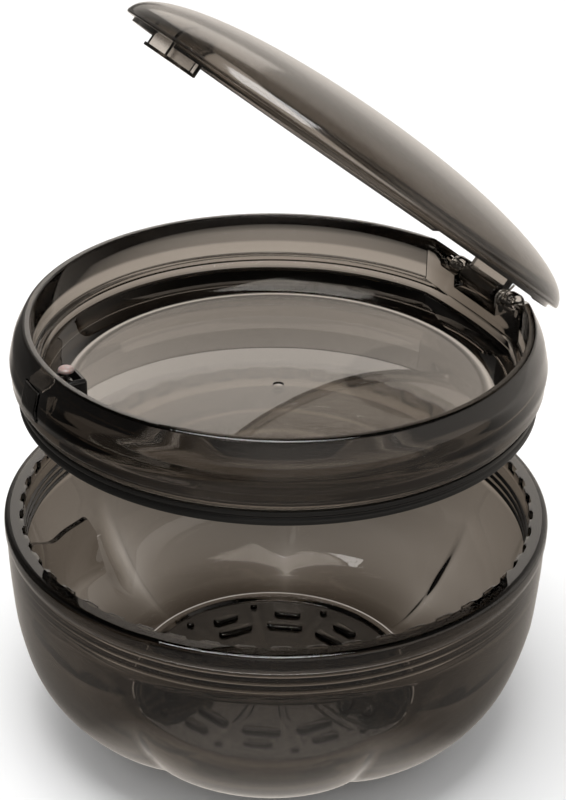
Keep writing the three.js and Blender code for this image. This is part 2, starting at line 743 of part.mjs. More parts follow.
function makeHousing() {
  const [front, back] = [-trayInnerRadius + seatGap, -housingBackReach];
  const bottom = -ledgeDrop + seatGap;
  const side = [
    [housingHalf, bottom], [housingHalf, housingRise - housingChamfer],
    [housingHalf - housingCorner, housingRise - housingCorner], [housingHalf - housingChamfer, housingRise],
  ];
  const outline = [...side, ...side.map(([x, z]) => [-x, z]).reverse()];
  const round = revolve([[0, bottom], [trayInnerRadius - seatGap, bottom],
    [trayInnerRadius - seatGap, cutOverrun], [0, cutOverrun]]);
  const housing = extrudeY(outline, front, back).intersect(round);
  return housing.subtract(block(
    -cavityHalf, cavityHalf, front - cutOverrun, back - housingWall, cavityFloor, housingRise + cutOverrun,
  ));
}

// The button: a face that follows the belt, and a slide whose post carries the stud
function makeButton() {
  const core = buttonBackReach / 2;
  const face = revolve([[core, -seatDrop], ...beltOutline(buttonProud), [core, 0]]);
  const [half, rise] = [buttonWidth / 2, buttonHeight / 2];
  const pad = face.intersect(block(
    -half, half, -beltRadius - cutOverrun, -buttonBackReach, -buttonDrop - rise, -buttonDrop + rise,
  ));
  const slideTop = -buttonDrop + slideRise;
  const postFront = -studReach - slidePost / 2;
  const slide = extrudeX([
    [-buttonBackReach - seatGap, cavityFloor + seatGap],
    [-studReach + slidePost / 2, cavityFloor + seatGap],
    [-studReach + slidePost / 2, postTop], [postFront, postTop],
    [postFront, slideTop], [-buttonBackReach - seatGap, slideTop],
  ], -slideWidth / 2, slideWidth / 2);
  return pad.add(slide);
}

function makeStud() {
  return post(studRadius, 0, -studReach, postTop + studGap, capLift - studGap);
}

function makeCap() {
  return revolve([
    [0, capLift], [capRadius, capLift], [capRadius, capLift + capHeight / 2],
    [capRadius * capCrownShare, capLift + capHeight], [0, capLift + capHeight],
  ], smallSteps).translate([0, -studReach, 0]);
}

// The button's return spring, round the slide between the button's back and the housing
function makeButtonSpring() {
  const from = -buttonBackReach + seatGap / 2 + buttonWire / 2;
  const to = -trayInnerRadius + seatGap / 2 - buttonWire / 2;
  const steps = buttonCurls * curlSteps;
  const points = [];
  for (let i = 0; i <= steps; i += 1) {
    const angle = (i / curlSteps) * Math.PI * 2;
    const y = from + ((to - from) * i) / steps;
    const [x, z] = [buttonCoilRadius * Math.cos(angle), buttonCoilRadius * Math.sin(angle)];
    points.push(new THREE.Vector3(x, y, -buttonDrop + z));
  }
  const least = leastSelfGap(points, buttonWire, buttonCoilRadius);
  console.log('button spring least self gap', least.toFixed(2));
  return sweepWire(points, buttonWire);
}

// The whole case. The tray's group hangs its pieces from its rim; the lid's group turns on the hinge.
const dentureCase = new THREE.Group();
dentureCase.add(meshOf('bowl', makeBowl(), smokePlastic()));
dentureCase.add(meshOf('base_pad', makeBasePad(), blackSilicone()));

const trayGroup = new THREE.Group();
trayGroup.position.z = trayRimHeight;
trayGroup.add(meshOf('tray_body', makeTray(), smokePlastic()));
trayGroup.add(meshOf('tray_seal', makeTraySeal(), blackSilicone()));
trayGroup.add(meshOf('hinge_pin', makeHingePin(), brightSteel()));
trayGroup.add(meshOf('hinge_spring', makeHingeSpring(), brightSteel()));
trayGroup.add(meshOf('latch_housing', makeHousing(), blackPlastic()));
trayGroup.add(meshOf('push_button', makeButton(), blackPlastic()));
trayGroup.add(meshOf('button_spring', makeButtonSpring(), brightSteel()));
trayGroup.add(meshOf('catch_stud', makeStud(), brightSteel()));
trayGroup.add(meshOf('stud_cap', makeCap(), pinkNylon()));
dentureCase.add(trayGroup);

const lidPivot = new THREE.Group();
lidPivot.position.set(0, hingeReach, -hingeDrop);
lidPivot.rotation.x = -THREE.MathUtils.degToRad(lidOpenAngle);
const lid = meshOf('lid_shell', makeLid(), smokePlastic());
lid.position.set(0, -hingeReach, hingeDrop);
lidPivot.add(lid);
trayGroup.add(lidPivot);

export default dentureCase;
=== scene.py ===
# %% [markdown]
# A denture case in smoke-tinted clear plastic: a fluted soaking bowl, a shallow tray that seats in
# its mouth, and a domed lid on a sprung hinge. The case is shown as the display photograph has it,
# with the tray raised off the bowl and the lid open. Clear plastic shows every facet, so the
# moulded shells are modelled again here with round sections, inside the size of the solids.

# %% Load the frame
import math

import bpy
from mathutils import Matrix, Vector


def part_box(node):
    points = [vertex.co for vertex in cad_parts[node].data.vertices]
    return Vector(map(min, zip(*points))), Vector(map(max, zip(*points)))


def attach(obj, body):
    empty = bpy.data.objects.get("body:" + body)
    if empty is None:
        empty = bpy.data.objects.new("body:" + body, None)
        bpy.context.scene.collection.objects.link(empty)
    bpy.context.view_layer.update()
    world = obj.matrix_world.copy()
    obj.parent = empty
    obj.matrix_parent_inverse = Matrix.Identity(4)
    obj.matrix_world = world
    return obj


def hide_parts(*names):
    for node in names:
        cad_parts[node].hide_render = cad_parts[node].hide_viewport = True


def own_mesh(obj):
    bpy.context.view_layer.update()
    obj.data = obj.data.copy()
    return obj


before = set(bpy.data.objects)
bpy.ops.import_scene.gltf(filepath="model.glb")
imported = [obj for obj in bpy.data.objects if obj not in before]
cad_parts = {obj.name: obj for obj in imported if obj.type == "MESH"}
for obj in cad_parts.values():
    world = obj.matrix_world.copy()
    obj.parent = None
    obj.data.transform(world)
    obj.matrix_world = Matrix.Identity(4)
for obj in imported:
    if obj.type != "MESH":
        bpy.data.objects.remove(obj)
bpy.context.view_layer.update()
MM = 0.001
TAU = math.tau
NEAR = 1e-6  # two places closer than this are one

# %% [markdown]
# The camera comes first. It looks down on the case from the side, from about half a metre, so
# that the hinge lies at the right and the latch at the left. Its heading, pitch and roll and its
# lens were fitted to the round rims in the photograph.

# %% Camera
CAMERA_PLACE = Vector((0.3026, -0.1649, 0.2585))
CAMERA_HEADING = 61.25
CAMERA_PITCH = 28.58
CAMERA_ROLL = 1.03
CAMERA_LENS = 89.24
SENSOR = 36.0

camera_data = bpy.data.cameras.new("camera")
camera_data.lens = CAMERA_LENS
camera_data.sensor_width = SENSOR
camera = bpy.data.objects.new("camera", camera_data)
bpy.context.scene.collection.objects.link(camera)
camera.matrix_world = (
    Matrix.Translation(CAMERA_PLACE)
    @ Matrix.Rotation(math.radians(CAMERA_HEADING), 4, "Z")
    @ Matrix.Rotation(math.radians(90 - CAMERA_PITCH), 4, "X")
    @ Matrix.Rotation(math.radians(CAMERA_ROLL), 4, "Z")
)
bpy.context.scene.camera = camera
print("camera at", [round(v, 3) for v in CAMERA_PLACE], "with a lens of", CAMERA_LENS, "mm")

# %% [markdown]
# Two helpers work on outlines. The first runs a smooth curve through a few points. The second
# rounds the corners of an outline, because every moulded edge has a radius, and that radius is
# what catches the light.


# %% Outline helpers
def smooth_curve(points, steps):
    """Points on a Catmull-Rom curve through the given points."""
    made = []
    for i in range(steps + 1):
        place = i / steps * (len(points) - 1)
        k = min(int(place), len(points) - 2)
        t = place - k
        around = [Vector(points[min(max(k + j, 0), len(points) - 1)]) for j in (-1, 0, 1, 2)]
        slope_in = (around[2] - around[0]) / 2
        slope_out = (around[3] - around[1]) / 2
        bend = 2 * around[1] - 2 * around[2] + slope_in + slope_out
        rise = 3 * around[2] - 3 * around[1] - 2 * slope_in - slope_out
        made.append(tuple(bend * t**3 + rise * t**2 + slope_in * t + around[1]))
    return made


def rounded(corners, steps=4):
    """An outline from (across, up, fillet) corners; each fillet becomes a short curve."""
    made = []
    for i, (x, z, fillet) in enumerate(corners):
        here = Vector((x, z))
        if fillet == 0:
            made.append(tuple(here))
            continue
        back = Vector(corners[i - 1][:2]) - here
        on = Vector(corners[(i + 1) % len(corners)][:2]) - here
        cut = min(fillet, back.length * 0.45, on.length * 0.45)
        start, end = here + back.normalized() * cut, here + on.normalized() * cut
        for k in range(steps + 1):
            t = k / steps
            made.append(tuple(start * (1 - t) ** 2 + here * 2 * t * (1 - t) + end * t**2))
    return made


# %% [markdown]
# The modelling helpers do what a modeller does by hand. An outline is drawn by extruding one
# vertex from point to point. It is then spun about the upright axis, or filled and extruded
# straight. Pieces are joined and cut with Boolean modifiers that are applied at once.


# %% Modelling helpers
ROUND = 360  # sides of a large round body
SMOOTH_BELOW = math.radians(30)


def deselect():
    """Leaves edit mode and selects nothing."""
    if bpy.context.object and bpy.context.object.mode != "OBJECT":
        bpy.ops.object.mode_set(mode="OBJECT")
    bpy.ops.object.select_all(action="DESELECT")


def pick(piece):
    """Makes one piece the only one selected."""
    deselect()
    piece.select_set(True)
    bpy.context.view_layer.objects.active = piece


def tidy(piece):
    """Merges doubled vertices and turns every face outwards."""
    pick(piece)
    bpy.ops.object.mode_set(mode="EDIT")
    bpy.ops.mesh.select_all(action="SELECT")
    bpy.ops.mesh.remove_doubles(threshold=NEAR)
    bpy.ops.mesh.normals_make_consistent(inside=False)
    bpy.ops.object.mode_set(mode="OBJECT")
    return piece


def draw_outline(name, points):
    """Draws a closed outline of (x, z) points in the upright XZ plane."""
    deselect()
    bpy.ops.mesh.primitive_plane_add(size=MM)
    piece = bpy.context.object
    piece.name = name
    bpy.ops.object.mode_set(mode="EDIT")
    bpy.ops.mesh.merge(type="CENTER")
    here = Vector((points[0][0], 0, points[0][1]))
    bpy.ops.transform.translate(value=here)
    for x, z in [*points[1:], points[0]]:
        there = Vector((x, 0, z))
        bpy.ops.mesh.extrude_region_move(TRANSFORM_OT_translate={"value": there - here})
        here = there
    bpy.ops.mesh.select_all(action="SELECT")
    bpy.ops.mesh.remove_doubles(threshold=NEAR / 10)
    return piece


def spun(name, points, steps):
    """A closed body of revolution about Z from a closed outline."""
    piece = draw_outline(name, points)
    bpy.ops.mesh.spin(steps=steps, angle=TAU, center=(0, 0, 0), axis=(0, 0, 1))
    return tidy(piece)


def prism(name, points, axis, low, high):
    """A closed outline filled and extruded along X, Y or Z from low to high."""
    piece = draw_outline(name, points)
    bpy.ops.mesh.edge_face_add()
    start, end = (low, high) if axis == "Y" else (-low, -high)
    bpy.ops.mesh.extrude_region_move(TRANSFORM_OT_translate={"value": (0, end - start, 0)})
    bpy.ops.mesh.select_all(action="SELECT")
    bpy.ops.transform.translate(value=(0, start, 0))
    bpy.ops.object.mode_set(mode="OBJECT")
    if axis == "X":
        piece.rotation_euler = (0, 0, TAU / 4)
    if axis == "Z":
        piece.rotation_euler = (-TAU / 4, 0, 0)
    settle(piece)
    return tidy(piece)


def settle(piece):
    """Puts a piece's place, turn and scale into its mesh."""
    pick(piece)
    bpy.ops.object.transform_apply(location=True, rotation=True, scale=True)
    return piece


def rod(name, radius, low, high, axis="Z", centre=(0, 0), sides=48):
    """A rod along X, Y or Z; centre is its place across the axis."""
    deselect()
    bpy.ops.mesh.primitive_cylinder_add(radius=radius, depth=high - low, vertices=sides)
    piece = bpy.context.object
    piece.name = name
    middle = (low + high) / 2
    piece.rotation_euler = {"X": (0, TAU / 4, 0), "Y": (TAU / 4, 0, 0), "Z": (0, 0, 0)}[axis]
    places = {"X": (middle, *centre), "Y": (centre[0], middle, centre[1]), "Z": (*centre, middle)}
    piece.location = places[axis]
    return settle(piece)


def block(name, low, high):
    """A block between two corners."""
    deselect()
    bpy.ops.mesh.primitive_cube_add(size=1)
    piece = bpy.context.object
    piece.name = name
    piece.scale = [b - a for a, b in zip(low, high)]
    piece.location = [(a + b) / 2 for a, b in zip(low, high)]
    return settle(piece)


def combine(piece, other, how):
    """Joins, cuts or keeps the common part of two bodies, and removes the second."""
    pick(piece)
    modifier = piece.modifiers.new("join", "BOOLEAN")
    modifier.operation = how
    modifier.solver = "EXACT"
    modifier.object = other
    bpy.ops.object.modifier_apply(modifier=modifier.name)
    bpy.data.objects.remove(other)
    return piece


def bevel(piece, width, segments=3, angle=40):
    """Rounds the sharp edges of a piece."""
    pick(piece)
    modifier = piece.modifiers.new("edges", "BEVEL")
    modifier.width = width
    modifier.segments = segments
    modifier.limit_method = "ANGLE"
    modifier.angle_limit = math.radians(angle)
    bpy.ops.object.modifier_apply(modifier=modifier.name)
    return piece


def seat(piece, body, slot, material, *nodes):
    """Shades a finished piece, gives it its material and seats it on its CAD body."""
    pick(piece)
    bpy.ops.object.shade_smooth_by_angle(angle=SMOOTH_BELOW)
    piece.data.materials.clear()
    piece.data.materials.append(material)
    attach(piece, body)
    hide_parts(*nodes)
    print(piece.name, len(piece.data.polygons), "faces")
    return piece


# %% [markdown]
# Colours are written as they look on a screen and turned to linear light by one function. One
# small function adds a node with its settings and links.


# %% Material helpers
def linear(hex_colour):
    """Linear red, green and blue of an sRGB hex colour."""
    shares = [int(hex_colour[i : i + 2], 16) / 255 for i in (1, 3, 5)]
    return [s / 12.92 if s <= 0.04045 else ((s + 0.055) / 1.055) ** 2.4 for s in shares]


def add_node(tree, kind, settings=None, links=None):
    """Adds a node; settings are its properties or input values, links join sockets to inputs."""
    node = tree.nodes.new(kind)
    for name, value in (settings or {}).items():
        if name in node.inputs:
            node.inputs[name].default_value = value
        else:
            setattr(node, name, value)
    for name, socket in (links or {}).items():
        tree.links.new(socket, node.inputs[name])
    return node


def new_material(name):
    """An empty node material and its output."""
    material = bpy.data.materials.new(name)
    material.use_nodes = True
    tree = material.node_tree
    tree.nodes.clear()
    return material, tree, add_node(tree, "ShaderNodeOutputMaterial")


# %% [markdown]
# The shells are smoke-tinted copolyester, injection moulded in a polished mould. The tint is in
# the plastic itself, so light that crosses 2.4 mm of wall keeps about a third of its strength and
# light that runs along a rim keeps almost none: that is why the edges read black. A transmitting
# surface with absorption inside gives this. A faint ripple, as melt flow leaves, bends the
# reflections a little.

# %% Smoke copolyester
SMOKE_LEFT = (0.326, 0.3, 0.272)  # light left after one wall
SMOKE_WALL = 2.4 * MM
SMOKE_IOR = 1.54
RIPPLE_SIZE = 14 * MM
RIPPLE_HEIGHT = 0.012 * MM


def smoke_plastic(name, strength, roughness):
    """Clear plastic with the smoke tint; strength scales the tint."""
    material, tree, output = new_material(name)
    place = add_node(tree, "ShaderNodeTexCoord")
    ripple = add_node(
        tree, "ShaderNodeTexNoise",
        {"Scale": 1 / RIPPLE_SIZE, "Detail": 1.0, "Roughness": 0.4},
        {"Vector": place.outputs["Object"]},
    )
    bump = add_node(
        tree, "ShaderNodeBump", {"Strength": 1.0, "Distance": RIPPLE_HEIGHT},
        {"Height": ripple.outputs["Fac"]},
    )
    surface = add_node(
        tree, "ShaderNodeBsdfPrincipled",
        {"Base Color": (1, 1, 1, 1), "Roughness": roughness, "IOR": SMOKE_IOR,
         "Transmission Weight": 1.0},
        {"Normal": bump.outputs["Normal"]},
    )
    loss = [-math.log(left) * strength / SMOKE_WALL for left in SMOKE_LEFT]
    density = max(loss) * 1.2
    inside = add_node(
        tree, "ShaderNodeVolumeAbsorption",
        {"Color": (*[1 - share / density for share in loss], 1), "Density": density},
    )
    tree.links.new(surface.outputs["BSDF"], output.inputs["Surface"])
    tree.links.new(inside.outputs["Volume"], output.inputs["Volume"])
    return material


smoke_bowl = smoke_plastic("smoke_copolyester_bowl", 0.95, 0.02)
# Painted light: the tray is the same plastic as the bowl, but its tint is set at under half the bowl's
# so that it reads lighter.
smoke_tray = smoke_plastic("smoke_copolyester_tray", 0.45, 0.02)
smoke_lid = smoke_plastic("smoke_copolyester_lid", 1.1, 0.13)
smoke_button = smoke_plastic("smoke_acetal_button", 1.6, 0.08)
print("light left after one wall", SMOKE_LEFT)

# %% [markdown]
# The opaque pieces: black silicone for the pad and the seal, soft and slightly dusty in its
# gloss; black acetal for the latch housing, smooth and waxy; stainless steel for the pin, the
# stud and the springs; and a pinkish nylon for the stud's cap, which lets a little light in.

# %% Opaque materials
GRAIN_SIZE = 0.35 * MM
DRAW_LINE = 0.12 * MM


def opaque(name, colour, roughness, grain, spread, **settings):
    """A plain moulded or drawn surface, with a grain that varies its roughness and its height."""
    material, tree, output = new_material(name)
    place = add_node(tree, "ShaderNodeTexCoord")
    noise = add_node(
        tree, "ShaderNodeTexNoise", {"Scale": 1 / grain, "Detail": 3.0},
        {"Vector": place.outputs["Object"]},
    )
    gloss = add_node(
        tree, "ShaderNodeMapRange", {"To Min": roughness - spread, "To Max": roughness + spread},
        {"Value": noise.outputs["Fac"]},
    )
    bump = add_node(
        tree, "ShaderNodeBump", {"Strength": 0.25, "Distance": grain / 10},
        {"Height": noise.outputs["Fac"]},
    )
    surface = add_node(
        tree, "ShaderNodeBsdfPrincipled", {"Base Color": (*linear(colour), 1), **settings},
        {"Roughness": gloss.outputs["Result"], "Normal": bump.outputs["Normal"]},
    )
    tree.links.new(surface.outputs["BSDF"], output.inputs["Surface"])
    return material


black_silicone = opaque("black_silicone", "#141311", 0.42, GRAIN_SIZE, 0.08, IOR=1.41)
black_acetal = opaque("black_acetal", "#100f0e", 0.22, GRAIN_SIZE, 0.05, IOR=1.48)
stainless = opaque("stainless_steel", "#c9c6c1", 0.22, DRAW_LINE, 0.06, Metallic=1.0)
pink_nylon = opaque(
    "pink_nylon", "#94817c", 0.3, GRAIN_SIZE, 0.06,
    **{"IOR": 1.53, "Subsurface Weight": 0.3, "Subsurface Scale": 0.8 * MM},
)

# %% [markdown]
# The bowl is one moulding. Its section is drawn from the foot up the outer wall, round the rim
# and down the inner wall to the well in the floor, then spun. The seven flutes, the teeth round
# the mouth and the step on one lobe are then pressed into the spun mesh by moving its vertices,
# as a sculptor would, because they change with the angle.

# %% Bowl sizes
bowl_low, bowl_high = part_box("bowl")
pad_low, pad_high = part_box("base_pad")
GAP = 0.3 * MM
RIM = bowl_high.z
BOWL_RADIUS = bowl_high.y
BAND_RADIUS = -bowl_low.y
INSIDE = BOWL_RADIUS - 2.2 * MM
BORE = BOWL_RADIUS - 3.9 * MM
STRIP = BORE + GAP
BAND = RIM - 3.5 * MM
TEETH = 50
TOOTH_HEIGHT = 1.6 * MM
TOOTH_DEPTH = 0.8 * MM
TOOTH_PLACES = (0.0, 0.17, 0.33, 0.48, 0.54, 0.74, 0.94)  # columns in one pitch
TOOTH_DEPTHS = (0, 0, 0, 0, 1, 1, 1)
RIBS = 3
RIB_START = 5 * MM
RIB_HEIGHT = 1 * MM
RIB_PITCH = 1.8 * MM
RIB_DEPTH = 0.54 * MM
FLOOR = 4.6 * MM
WELL = 0.509 * BOWL_RADIUS
WELL_FLOOR = FLOOR - 0.8 * MM
PAD_RECESS = pad_high.x + GAP
PAD_TOP = pad_high.z + GAP
OUTER_SHARES = [(0.618, 0.008), (0.698, 0.052), (0.78, 0.123), (0.865, 0.223),
                (0.936, 0.354), (0.969, 0.5), (0.988, 0.75), (0.993, 0.92)]
INNER_SHARES = [(0.986, 0.77), (0.97, 0.52), (0.936, 0.375), (0.875, 0.26), (0.786, 0.171),
                (0.67, 0.108)]
FLUTES = 7
FIRST_CREASE = TAU / 4 + math.radians(6.2)
FLUTE_DEPTH = 3.2 * MM
FLUTE_TOP = 28 * MM
FLUTE_FULL = 12 * MM
FLUTE_INNER_RISE = 8 * MM
STEP_LOBE = 2
STEP_THICKNESS = 1 * MM
STEP_FOOT = FLOOR + FLUTE_INNER_RISE
STEP_REACH = 7 * MM  # the rings of the mesh are drawn to the edge from this far
STEP_FADE = 0.2  # and are let go over this share of a lobe beside it
STEP_DROP = 0.35 * MM
STEP_RISE = 3 * MM
STEP_RING = 0.6 * RIM  # the ring of the mesh just below this height becomes the edge
PINCH = 0.6  # how far the ring beside the panel closes up, in steps of the spin
LEAN = math.radians(7)
LEAN_TOP = 34 * MM
LEAN_FADE = 0.5
STEP_EDGE = [(0.03, 0.56), (0.13, 0.475), (0.4, 0.46), (0.8, 0.3)]
BOWL_STEPS = FLUTES * TEETH


# %% Bowl section
def bowl_sections():
    """The bowl's outer half-section and inner half-section; together they close on the axis."""
    outer = rounded([
        (0, PAD_TOP, 0), (PAD_RECESS, PAD_TOP, 0.3 * MM), (PAD_RECESS, bowl_low.z, 0.4 * MM),
        (OUTER_SHARES[0][0] * BOWL_RADIUS, bowl_low.z, 0),
    ])
    outer += smooth_curve([(r * BOWL_RADIUS, z * RIM) for r, z in OUTER_SHARES], 44)[1:]
    outer += rounded([
        (OUTER_SHARES[-1][0] * BOWL_RADIUS, BAND - 0.6 * MM, 0.4 * MM),
        (BAND_RADIUS, BAND + 0.8 * MM, 0.5 * MM),
        (BAND_RADIUS, RIM, 2.9 * MM),
        (BORE + 0.9 * MM, RIM, 0),
    ], 10)
    inner = rounded([
        (BORE + 0.85 * MM, RIM, 0), (BORE, RIM, 0.3 * MM), (BORE, RIM - TOOTH_HEIGHT, 0.15 * MM),
        (STRIP, RIM - TOOTH_HEIGHT, 0.1 * MM), (STRIP, RIM - RIB_START + 0.3 * MM, 0),
    ])
    for i in range(RIBS):
        top = RIM - RIB_START - i * RIB_PITCH
        inner += [(STRIP - RIB_DEPTH * math.sin(k / 8 * math.pi), top - RIB_HEIGHT * k / 8)
                  for k in range(9)]
    inner += smooth_curve([(r * INSIDE, z * RIM) for r, z in INNER_SHARES], 44)
    inner += rounded([
        (WELL + 2.4 * MM, FLOOR, 0.6 * MM), (WELL + 0.6 * MM, FLOOR, 0.15 * MM),
        (WELL, WELL_FLOOR, 0.2 * MM), (0, WELL_FLOOR, 0),
    ])
    return outer, inner


def smooth_step(share):
    """Eases from 0 to 1."""
    t = min(1, max(0, share))
    return t * t * (3 - 2 * t)


def crease_share(angle):
    """0 on a lobe's crest and 1 in a crease; each lobe is an ellipse's arc."""
    turns = (angle - FIRST_CREASE) * FLUTES / TAU
    offset = abs(turns - math.floor(turns) - 0.5) * 2
    return 1 - math.sqrt(max(0, 1 - offset**2))


def inner_wall_at(z):
    """Radius of the inner wall at a height, on a lobe's crest."""
    above = [point for point in inner_section if point[1] >= z and point[1] < RIM - RIB_START]
    (r0, z0), (r1, z1) = above[-1], inner_section[inner_section.index(above[-1]) + 1]
    return r0 + (r1 - r0) * (z0 - z) / (z0 - z1)


def panel_lean(angle, z):
    """How far a vertex of the inner wall turns, so that the stepped panel's end leans."""
    place = ((angle - FIRST_CREASE) % TAU) * FLUTES / TAU - STEP_LOBE - STEP_EDGE[0][0]
    lean = LEAN * smooth_step((LEAN_TOP - z) / (LEAN_TOP - STEP_FOOT))
    pinch = PINCH * TAU / BOWL_STEPS if -FLUTES / BOWL_STEPS < place < 0 else 0
    return lean * (1 - smooth_step(abs(place) / LEAN_FADE)) + pinch


def step_place(angle):
    """Whether an angle lies on the stepped panel, how far the mesh follows it, and its height."""
    across = ((angle - FIRST_CREASE) % TAU) * FLUTES / TAU - STEP_LOBE
    first, last = STEP_EDGE[0][0], STEP_EDGE[-1][0]
    beside = max(first - across, across - last, 0)
    place = min(max(across, first), last)
    after = max(1, next(k for k, (share, _) in enumerate(STEP_EDGE) if share >= place))
    (p0, d0), (p1, d1) = STEP_EDGE[after - 1], STEP_EDGE[after]
    height = RIM * (1 - d0 - (d1 - d0) * smooth_step((place - p0) / (p1 - p0)))
    return beside == 0, 1 - smooth_step(beside / STEP_FADE), height


# %% Bowl
outer_section, inner_section = bowl_sections()
bowl = spun("bowl_shell", outer_section + inner_section, BOWL_STEPS)
inner_line = [Vector(point) for point in inner_section]


def on_inner_wall(radius, z):
    """Whether a vertex of the spun bowl belongs to the inner section."""
    return min((point - Vector((radius, z))).length for point in inner_line) < NEAR


first_wall = next(k for k, (_, z) in enumerate(inner_section) if z < STEP_RING)
EDGE_TOP, EDGE_LOW = inner_section[first_wall][1], inner_section[first_wall + 1][1]
kinds = {}
for vertex in bowl.data.vertices:
    x, y, z = vertex.co
    radius, angle = math.hypot(x, y), math.atan2(y, x)
    if radius < PAD_RECESS + GAP:
        continue
    key = (round(radius, 6), round(z, 6))
    if key not in kinds:
        kinds[key] = on_inner_wall(radius, z)
    inside = kinds[key]
    push = 0
    stepped, hold, edge = step_place(angle)
    if inside and hold and STEP_FOOT < z < RIM - RIB_START - RIBS * RIB_PITCH:
        if stepped and z < EDGE_TOP - NEAR:
            push = STEP_THICKNESS * smooth_step((z - STEP_FOOT) / STEP_RISE)
        above = z > EDGE_LOW + NEAR
        start = EDGE_TOP if above else EDGE_LOW
        goal = edge if above else edge - STEP_DROP
        z += hold * (goal - start) * (1 - smooth_step(abs(z - start) / STEP_REACH))
        radius = inner_wall_at(z)
    crease = FLUTE_DEPTH * smooth_step((FLUTE_TOP - z) / (FLUTE_TOP - FLUTE_FULL))
    if inside:
        crease *= smooth_step((z - FLOOR) / FLUTE_INNER_RISE)
    radius -= crease * crease_share(angle) + push
    if inside and z < LEAN_TOP:
        angle += panel_lean(angle, z)
    if inside and z > RIM - TOOTH_HEIGHT + 0.1 * MM:
        column = round((angle % TAU) * BOWL_STEPS / TAU)
        place, pitch = column % len(TOOTH_PLACES), column // len(TOOTH_PLACES)
        angle = (pitch + TOOTH_PLACES[place]) * TAU / TEETH
        radius = max(radius, BORE + TOOTH_DEPTH * TOOTH_DEPTHS[place])
    vertex.co = (radius * math.cos(angle), radius * math.sin(angle), z)
print("bowl", len(bowl.data.vertices), "vertices")

# %% [markdown]
# Raised bars and dots stand on the floor of the well, so that a denture does not lie in the last
# of the liquid. Each bar is a slot shape, extruded and rounded, and copied round the floor.

# %% Drain bars
BAR_HEIGHT = 0.8 * MM
BAR_WIDTH = 2.2 * MM
BAR_GROUPS = 10
BAR_RINGS = ((0.411 * BOWL_RADIUS, 6 * MM), (0.324 * BOWL_RADIUS, 8 * MM))
DOT_RING = 0.465 * BOWL_RADIUS
DOT_RADIUS = 0.8 * MM


def drain_bar(radius, length, angle):
    """One bar across the radius."""
    half = (length - BAR_WIDTH) / 2
    ends = [(k / 12 * math.pi, 1) for k in range(13)]
    ends += [(math.pi + k / 12 * math.pi, -1) for k in range(13)]
    outline = [(radius + BAR_WIDTH / 2 * math.cos(turn), side * half + BAR_WIDTH / 2 * math.sin(turn))
               for turn, side in ends]
    piece = prism("bar", outline, "Z", WELL_FLOOR - BAR_HEIGHT, WELL_FLOOR + BAR_HEIGHT)
    piece.rotation_euler = (0, 0, angle)
    return settle(piece)


bars = []
for i in range(BAR_GROUPS):
    bars += [drain_bar(ring, length, i / BAR_GROUPS * TAU) for ring, length in BAR_RINGS]
    turn = (i + 0.5) / BAR_GROUPS * TAU
    bars.append(rod("dot", DOT_RADIUS, WELL_FLOOR - BAR_HEIGHT, WELL_FLOOR + BAR_HEIGHT,
                    centre=(DOT_RING * math.cos(turn), DOT_RING * math.sin(turn)), sides=24))
deselect()
for bar in bars:
    bar.select_set(True)
bpy.context.view_layer.objects.active = bars[0]
bpy.ops.object.join()
bars = bpy.context.object
bevel(bars, 0.4 * MM)
combine(bowl, bars, "UNION")
seat(bowl, "bowl", "smoke_plastic_bowl", smoke_bowl, "bowl")

# %% [markdown]
# The pad under the bowl is a plain disc with a rounded foot.

# %% Base pad
pad = spun("base_pad_soft", rounded([
    (0, 0, 0), (pad_high.x, 0, 0.5 * MM), (pad_high.x, pad_high.z, 0.2 * MM), (0, pad_high.z, 0),
]), 180)
seat(pad, "bowl", "black_silicone_pad", black_silicone, "base_pad")

# %% [markdown]
# The tray is drawn about its rim: heights here are measured from the rim plane and the finished
# pieces are lifted to it. The belt round the outside comes to a ridge, and above it the wall leans
# in to a narrow flat rim. A ledge runs round the inside above the curve into the floor.

# %% Tray sizes
tray_low, tray_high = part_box("tray_body")
TRAY_TOP = tray_high.z
TRAY_WALL = 2.4 * MM
TRAY_RIM = BORE - 0.8 * MM
RIM_EDGE = BORE - 1.6 * MM  # the wall leans in to here under the rim, which blackens it
TRAY_INSIDE = TRAY_RIM - TRAY_WALL
TRAY_BOTTOM = -17.3 * MM
TRAY_FLOOR = TRAY_BOTTOM + 1.9 * MM
BELT = BORE + 1.2 * MM
SEAT_DROP = -11.4 * MM
LEDGE_DROP = -8.7 * MM
LEDGE_FOOT = LEDGE_DROP - 2.2 * MM
LEDGE = TRAY_INSIDE - 1.5 * MM
NECK = BORE - 0.4 * MM
NECK_DROP = SEAT_DROP - 1.9 * MM
SKIRT = BORE - 1.7 * MM
GROOVE = NECK - 2.5 * MM
FLOOR_EDGE = BORE - 9.1 * MM
NOSE = TRAY_WALL / 2
HINGE_REACH = TRAY_INSIDE - 0.45 * MM
HINGE_DROP = -3.56 * MM
KNUCKLE = 2.4 * MM
KNUCKLE_HALF = 6 * MM
PIN = 0.8 * MM
PIN_BORE = PIN + 0.15 * MM
EAR_END = -KNUCKLE_HALF - GAP
EAR_START = EAR_END - 3.7 * MM
SPRING_EAR_START = 9.133 * MM
SPRING_EAR_END = SPRING_EAR_START + 2.2 * MM
PANEL = HINGE_REACH - 3.15 * MM
PANEL_FOOT = PANEL - 2 * MM
PANEL_HALF = 17 * MM
DIP_DEPTH = -3.5 * MM
DIP_FLAT = 10 * MM
DIP_HALF = 18 * MM
SKIRT_HEIGHT = 0.6 * MM
OVER = 3 * MM


def lift(piece):
    """Lifts a piece drawn about the rim plane to its place."""
    piece.location.z = TRAY_TOP
    return settle(piece)


def hinge_rod(name, radius, low, high, sides=48):
    """A rod on the hinge's axis."""
    return rod(name, radius, low, high, "X", (HINGE_REACH, HINGE_DROP), sides)


